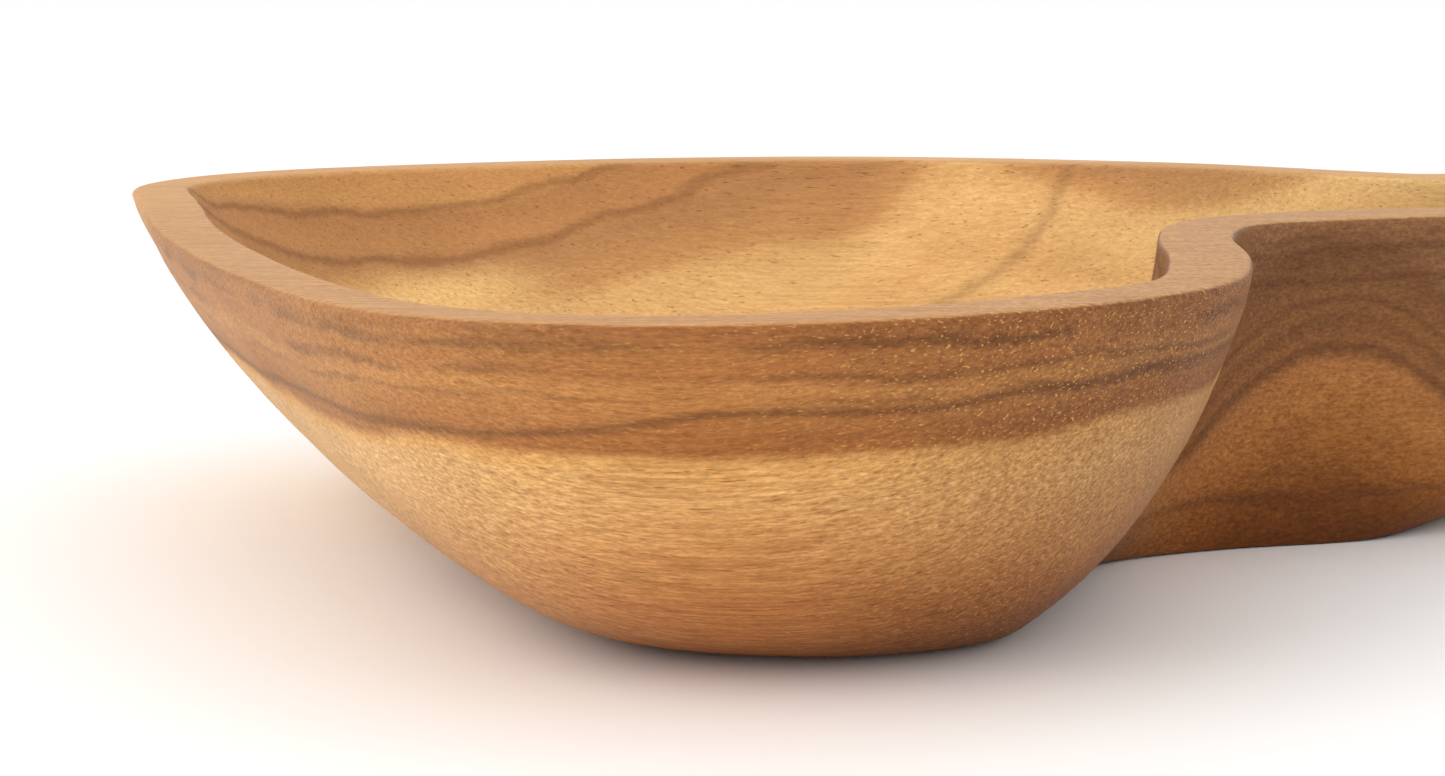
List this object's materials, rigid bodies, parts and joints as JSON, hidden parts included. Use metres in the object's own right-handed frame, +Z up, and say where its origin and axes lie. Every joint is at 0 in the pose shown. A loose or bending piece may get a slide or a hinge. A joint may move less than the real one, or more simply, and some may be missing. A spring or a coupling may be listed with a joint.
{
  "type": "chip and dip server",
  "caption": "Hand-carved teak serving dish with a large hollow for chips that opens into a small hollow holding a loose stoneware dip cup.",
  "frame": {"origin": "middle of the dish's footprint rectangle, on the table it rests on", "axes": "+Z up; +X along the dish's length towards the dip hollow; +Y away from the rounded end of the chip hollow"},
  "size_m": [0.348, 0.3064, 0.064],
  "materials": {
    "teak": "oiled teak, satin, with dark growth lines",
    "stoneware": "warm white glaze, satin gloss"
  },
  "bodies": {
    "dish": {"server_body": "teak"},
    "cup": {"dip_cup": "stoneware"}
  },
  "joints": [
    {"name": "dip_cup_lift", "type": "slide", "parent": "dish", "child": "cup", "axis": [0, 0, 1], "range_m": [0, 0.09]}
  ]
}
